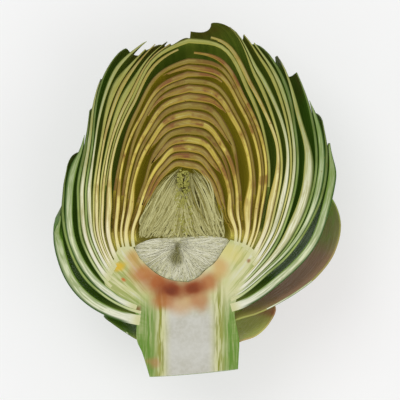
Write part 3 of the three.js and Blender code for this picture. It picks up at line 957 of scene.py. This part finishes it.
def heart_skin_material():
    """Green ribbed skin of the stem and the pale foot of the bracts."""
    material, nodes, shader = new_finish("stem_skin", 0.5)
    x, y, z = nodes.split(nodes.where())
    drawn = nodes.vector(nodes.times(x, 900.0), nodes.times(y, 60.0), nodes.times(z, 900.0))
    streaks = nodes.noise(drawn, 1.0)
    colour = nodes.blend(nodes.between(streaks, 0.4, 0.62), (84, 120, 36), (128, 152, 66))
    colour = nodes.blend(nodes.between(y, -0.036, -0.022), colour, (190, 192, 140))
    nodes.dress(shader, colour, streaks, 0.5, 0.0003)
    return material


def near(nodes, where, middle, reach):
    """Nearness to a spot on the cut face: 1 in its middle, 0 past its reach across and along."""
    place = settled(np.array([*middle, 0]))
    shifted = nodes.vectors("SUBTRACT", where, tuple(place))
    scaled = nodes.vectors("MULTIPLY", shifted, tuple(1 / (r * MM) for r in (*reach, SPOT_DEPTH)))
    far = nodes.add("ShaderNodeVectorMath", {0: scaled}, operation="LENGTH").outputs["Value"]
    return nodes.between(far, 1.0, 0.2)


# Browned spots of the cut heart: middle, reach across and along, strength and colour
BROWNING = [
    ((-2, -24.4), (8, 6), 0.6, (196, 140, 78)),
    ((-17.6, -10.4), (3.6, 4.6), 0.6, (194, 134, 62)),
    ((-14.2, -15.4), (6, 5), 0.85, (180, 106, 44)),
    ((-10, -19), (7.4, 5), 0.95, (166, 88, 32)),
    ((6, -18.6), (6, 5), 0.85, (174, 98, 40)),
    ((9.6, -14), (4.6, 5), 0.6, (202, 146, 68)),
    ((-7.6, -24.4), (5.6, 5), 0.8, (172, 98, 42)),
    ((3.8, -24.4), (5, 5.4), 0.7, (176, 104, 46)),
    ((-5.2, -21), (7.4, 4.6), 1.0, (142, 66, 24)),
    ((1.6, -20.4), (6, 4.2), 1.0, (146, 70, 26)),
    ((-5.2, -21.4), (3.6, 2.2), 0.8, (110, 44, 14)),
    ((1.6, -20.6), (3.2, 2), 0.7, (116, 50, 16)),
    ((-21.4, -13.4), (2.4, 2.2), 0.9, (214, 176, 36)),
    ((-20.2, -17.6), (1.0, 1.0), 0.9, (196, 98, 28)),
    ((-15.8, -26), (2, 1.4), 0.8, (124, 80, 36)),
    ((19.4, -11.8), (1.3, 1), 0.8, (148, 92, 40)),
    ((24, -9.6), (0.9, 0.9), 0.8, (186, 96, 34)),
    ((14, -9.4), (6, 5), 0.5, (214, 198, 100)),
    ((-11, -44), (2.8, 3), 0.6, (176, 122, 80)),
]


def heart_flesh_material():
    """Cut heart and stem: cream flesh, pale pith, green rind with yellow strands, browned under the choke."""
    material, nodes, shader = new_finish("heart_flesh", 0.45, coat=0.08)
    where = nodes.where()
    wobble = nodes.add("ShaderNodeTexNoise", {"Vector": where, "Scale": 110.0, "Detail": 3.0})
    wobble = nodes.vectors("SUBTRACT", wobble.outputs["Color"], (0.5, 0.5, 0.5))
    moved = nodes.vectors("ADD", where, nodes.vectors("MULTIPLY", wobble, (SPOT_WAVER * MM,) * 3))
    x, y, z = nodes.split(where)
    axis = HEART_PLACE[0] * MM
    strands = nodes.noise(nodes.vector(nodes.times(x, 1100.0), nodes.times(y, 90.0), z), 1.0)
    fine = nodes.noise(where, 900.0, 4.0)
    patches = nodes.mottled(120.0, 0.4, 0.65)
    colour = nodes.blend(patches, (210, 208, 160), (196, 198, 136))
    # Vessels that part from the stem and run out into the bracts
    beside, above = nodes.maths("ABSOLUTE", nodes.less(x, axis)), nodes.less(y, VESSELS_FROM * MM)
    turned = nodes.times(nodes.maths("ARCTAN2", above, beside), 17.0)
    run = nodes.times(nodes.reach(beside, above), 55.0)
    vessels = nodes.noise(nodes.vector(turned, run, x), 1.0)
    shown = nodes.between(beside, 0.011, 0.018)
    dark, light = nodes.between(vessels, 0.5, 0.62, 0.0, 0.75), nodes.between(vessels, 0.45, 0.36, 0.0, 0.7)
    colour = nodes.blend(nodes.times(dark, shown), colour, (144, 156, 70))
    colour = nodes.blend(nodes.times(light, shown), colour, (216, 216, 190))
    # Green towards the rind of the stem
    out = nodes.reach(nodes.less(x, axis + 0.0006), nodes.less(z, CUT_HEIGHT))
    rind = nodes.times(nodes.between(out, 0.0082, 0.0128), nodes.between(y, -0.028, -0.038))
    rind = nodes.times(rind, nodes.between(strands, 0.32, 0.6, 0.55, 1.0))
    colour = nodes.blend(rind, colour, (98, 136, 42))
    # Yellow-green strands between pith and rind
    line = nodes.between(nodes.maths("ABSOLUTE", nodes.less(out, 0.0092)), 0.003, 0.0)
    line = nodes.times(line, nodes.between(y, -0.022, -0.034))
    colour = nodes.blend(nodes.times(line, nodes.between(strands, 0.44, 0.56)), colour, (138, 142, 52))
    # Pith
    pith = nodes.times(nodes.between(out, 0.0094, 0.0054), nodes.between(y, -0.028, -0.039))
    cells = nodes.blend(patches, (198, 197, 187), (186, 184, 170))
    cells = nodes.blend(nodes.between(fine, 0.42, 0.6, 0.0, 0.35), cells, (208, 207, 198))
    colour = nodes.blend(pith, colour, cells)
    # Browning that follows the underside of the choke
    for middle, reach, strength, shade in BROWNING:
        colour = nodes.blend(nodes.times(near(nodes, moved, middle, reach), strength), colour, shade)
    colour = nodes.blend(nodes.between(fine, 0.6, 0.85, 0.0, 0.12), colour, (222, 220, 196))
    height = nodes.maths("ADD", nodes.times(strands, 0.6), nodes.times(fine, 0.5))
    nodes.dress(shader, colour, height, 0.35, 0.0002)
    return material


def heart_outline(bowl, wall):
    """From the bottom of the hollow over the rim and down the wall, closed at the axis."""
    rim = np.concatenate([finer(bowl, 14), finer(wall, 44)])
    return np.concatenate([rim, [[0, wall[-1][1]]]])


left, right = heart_outline(BOWL_LEFT, HEART_LEFT), heart_outline(BOWL_RIGHT, HEART_RIGHT)
heart = turned_half("heart_half", left, right, 48)
end_across, end_back = math.radians(STEM_END_ACROSS), math.radians(STEM_END_BACK)
end_normal = Vector((math.sin(end_across), -math.cos(end_across) * math.cos(end_back), -math.sin(end_back)))
stem_end = settled(np.array([0, STEM_END_HEIGHT, 0]))
slice_off(heart, tuple(stem_end), tuple(end_normal))
slice_off(heart, (0, 0, CUT_HEIGHT - HEART_LOWER * MM), (0, 0, 1))
finish_cut(heart, heart_skin_material(), heart_flesh_material())
for face in heart.data.polygons:
    if Vector(face.normal).dot(end_normal) > 0.99 and face.center.y < stem_end[1] + 2 * MM:
        face.material_index = 1
finish_piece(heart, "heart_and_stem")


# The choke: a pad under the cut face with hairs lying over it


def hair_material(name, light, dark, deep, roughness, shaded=()):
    material, nodes, shader = new_finish(name, roughness)
    along, where = nodes.attribute("along", "Fac"), nodes.where()
    grain = nodes.noise(where, 1400.0)
    colour = nodes.blend(nodes.attribute("tone", "Fac"), light, dark)
    colour = nodes.blend(nodes.between(along, 0.3, 1.0, 0.0, 0.35), colour, light)
    colour = nodes.blend(nodes.between(grain, 0.5, 0.75, 0.0, 0.3), colour, deep)
    for middle, reach in shaded:
        colour = nodes.blend(nodes.times(near(nodes, where, middle, reach), 0.85), colour, deep)
    nodes.dress(shader, colour, grain, 0.3, 0.0001)
    return material


def pad_material(name, light, dark, scale):
    material, nodes, shader = new_finish(name, 0.75)
    grain = nodes.noise(nodes.where(), scale, 4.0)
    colour = nodes.blend(nodes.between(grain, 0.4, 0.65), light, dark)
    nodes.dress(shader, colour, grain, 0.5, 0.0003)
    return material


choke_pad = pad_material("choke_pad", (208, 206, 172), (172, 170, 126), 700.0)
choke_hair = hair_material("choke_hair", (229, 227, 206), (198, 196, 160), (120, 116, 54), 0.6,
                           shaded=(((-3.8, -10.6), (3.4, 4)), ((-3.4, -7.4), (1.4, 3.4))))
pad = turned_half("choke_pad", finer(CHOKE_LEFT, 40), finer(CHOKE_RIGHT, 40), 40, core_shift=0.45)
finish_cut(pad, choke_pad, choke_pad)
finish_piece(pad, "choke")

focus = np.array(CHOKE_FOCUS)
rim_points = np.concatenate([
    finer(CHOKE_LEFT, 60)[::-1][:44] * [-1, 1],
    finer(CHOKE_RIGHT, 60)[::-1][:46],
])
rim_points = np.concatenate([rim_points[:44][::-1], rim_points[44:]])
hairs = []
for _ in range(HAIR_COUNT):
    at = chance.uniform(0, len(rim_points) - 1)
    low = int(at)
    high = min(low + 1, len(rim_points) - 1)
    foot = mix(rim_points[low], rim_points[high], at - low)
    reach = chance.uniform(0.5, 0.97)
    aim = focus + chance.normal(0, 1.0, 2)
    start = mix(foot, aim, chance.uniform(0.0, 0.5) if chance.random() < 0.6 else 0.02)
    end = mix(foot, aim, reach)
    bend = np.array([-(end - start)[1], (end - start)[0]]) * chance.normal(0, 0.06)
    path = []
    depth = chance.uniform(-0.55, 0.0)
    for t in np.linspace(0, 1, 5):
        spot = mix(start, end, t) + bend * math.sin(math.pi * t)
        path.append([spot[0], spot[1], depth - 0.25 * (1 - t) + chance.normal(0, 0.03)])
    radii = np.array([0.17, 0.16, 0.14, 0.11, 0.04]) * chance.uniform(0.8, 1.25)
    # Painted shade: hairs that end near the middle of the choke, where the hairs meet, get a darker tone
    centre_shade = math.exp(-((end[0] - focus[0]) ** 2 + (end[1] - focus[1]) ** 2) / 8)
    hairs.append((np.array(path), radii, float(np.clip(chance.uniform(0, 0.7) + 0.5 * centre_shade, 0, 1))))
rods_piece("choke_hairs", hairs, 4, choke_hair, "choke")


# The florets: a core, buds round its back, and cut strands over its face


def dome_radius(height, azimuth):
    left, right = smooth(DOME_HEIGHTS, DOME_LEFT, height), smooth(DOME_HEIGHTS, DOME_RIGHT, height)
    return mix(left, right, right_share(azimuth))


def core_outline(radii):
    marks = [[0, FLORET_FOOT + 0.2]]
    for height, radius in list(zip(DOME_HEIGHTS, radii))[1:-1]:
        marks.append([radius * DOME_CORE, max(height - 1.2, FLORET_FOOT + 0.2)])
    marks.append([0, 17])
    return np.array(marks, float)


floret_core = pad_material("floret_core", (112, 104, 42), (76, 68, 22), 800.0)
floret_strand = hair_material("floret_strand", (196, 192, 136), (132, 124, 56), (88, 78, 26), 0.55)
floret_bead = hair_material("floret_bead", (176, 172, 92), (136, 134, 56), (104, 96, 36), 0.5)
core = turned_half("floret_core", core_outline(DOME_LEFT), core_outline(DOME_RIGHT), 40, core_shift=0.9)
finish_cut(core, floret_core, floret_core)
finish_piece(core, "florets")

bud_radii = np.array([0.75, 0.8, 0.85, 0.85, 0.8, 0.7, 0.5, 0.15])
buds = []
for k in range(BUD_COUNT):
    azimuth = math.radians(GOLDEN_ANGLE * k + 20)
    share = math.sqrt((k + 0.5) / BUD_COUNT)
    if math.sin(azimuth) * share * 12 < 0.6:
        continue
    tip = mix(FLORET_TOP, 8, share ** 1.5)
    path = []
    for t in np.linspace(0, 1, 8) ** 0.8:
        height = mix(FLORET_FOOT, tip, t)
        out = share * (float(dome_radius(height, azimuth)) - 0.5)
        path.append([out * math.cos(azimuth), height, -out * math.sin(azimuth)])
    buds.append((grown(np.array(path)), bud_radii, chance.uniform(0, 1)))
rods_piece("floret_buds", buds, 6, floret_strand, "florets")

# Cut florets part from the middle column and sweep out to both sides
strand_radii = np.array([0.2, 0.6, 0.9, 1, 1, 1, 1, 1, 0.95, 0.8, 0.4])
strands = []
for _ in range(STRAND_COUNT):
    share = chance.uniform(0.04, 1)
    side = 1 if chance.random() < 0.45 else -1
    azimuth = 0 if side > 0 else math.pi
    tip = mix(2, 18.6, share ** 0.6) - chance.uniform(0, 3)
    low = FLORET_FOOT - 0.6 + 3.4 * chance.random() ** 2
    foot = mix(low, tip, chance.choice([0, 0, 0.3]) * chance.random())
    depth = chance.uniform(-0.75, -0.12)
    sway, phase = chance.normal(0, 0.5), chance.uniform(0, 6)
    path = []
    for t in np.linspace(0, 1, 11):
        height = mix(tip, foot, math.sin(t * math.pi / 2))
        parted = mix(share ** 4, share, float(ease(t, -0.25, 1.1)))
        out = parted * (float(dome_radius(height, azimuth)) - 0.3)
        across = side * out + sway * math.sin(phase + t * 6) + COLUMN_PLACE * (1 - parted)
        path.append([across, height, depth + 0.1 * math.sin(phase + 3 * t)])
    size = chance.uniform(0.16, 0.34)
    strands.append((np.array(path), size * strand_radii, chance.uniform(0, 1) ** 1.2))
rods_piece("floret_strands", strands, 5, floret_strand, "florets")

# Crowded young buds in the middle column
bead_radii = np.array([0.3, 1, 1, 0.3])
beads = []
for _ in range(BEAD_COUNT):
    height = chance.uniform(-3, FLORET_TOP)
    wide = mix(3.4, 1.4, height / 18)
    across = COLUMN_PLACE + chance.uniform(-wide, wide)
    depth = chance.uniform(-0.42, -0.1)
    length = chance.uniform(0.5, 1.1)
    lean = chance.normal(0, 0.25)
    path = np.array([[across + lean * t, height + length * t, depth] for t in (-0.5, -0.25, 0.25, 0.5)])
    beads.append((path, chance.uniform(0.3, 0.44) * bead_radii, chance.uniform(0.2, 1)))
rods_piece("floret_beads", beads, 6, floret_bead, "florets")


# Floor, light and camera

bpy.ops.object.select_all(action="DESELECT")
bpy.ops.mesh.primitive_grid_add(x_subdivisions=8, y_subdivisions=8, size=6, location=(0, 0, 0))
floor = bpy.context.object
floor.name = "floor"
floor_finish, floor_nodes, floor_shader = new_finish("pale_floor", 0.8)
paper = floor_nodes.noise(floor_nodes.where(), 40.0, 2.0)
paper = floor_nodes.blend(paper, (184, 184, 184), (187, 187, 187))
floor_finish.node_tree.links.new(paper, floor_shader.inputs["Base Color"])
# A light table: it glows a little, so that hardly a shadow shows
floor_shader.inputs["Emission Color"].default_value = (1, 1, 1, 1)
floor_shader.inputs["Emission Strength"].default_value = 0.455
floor.data.materials.append(floor_finish)

world = bpy.data.worlds.new("soft_studio")
bpy.context.scene.world = world
world.use_nodes = True
sky = world.node_tree.nodes["Background"]
sky.inputs["Color"].default_value = (1, 1, 1, 1)
sky.inputs["Strength"].default_value = 0.68


def soft_light(name, place, size, power):
    bpy.ops.object.light_add(type="AREA", location=place)
    light = bpy.context.object
    light.name = name
    light.data.shape = "DISK"
    light.data.size = size
    light.data.energy = power
    aim = Vector((0, 0, 0.03)) - Vector(place)
    light.rotation_euler = aim.to_track_quat("-Z", "Y").to_euler()


soft_light("key_light", (-0.4, 0.5, 1.3), 0.8, 5)
soft_light("fill_light", (0.6, -0.4, 1.3), 1.0, 3)

across, along, _ = settled(np.array([*VIEW_MIDDLE, 0]))
bpy.ops.object.camera_add(location=(across, along, CUT_HEIGHT + CAMERA_DISTANCE))
camera = bpy.context.object
camera.data.sensor_width = SENSOR
camera.data.lens = SENSOR * CAMERA_DISTANCE / (VIEW_WIDTH * MM)
bpy.context.scene.camera = camera
bpy.context.scene.view_settings.view_transform = "Standard"
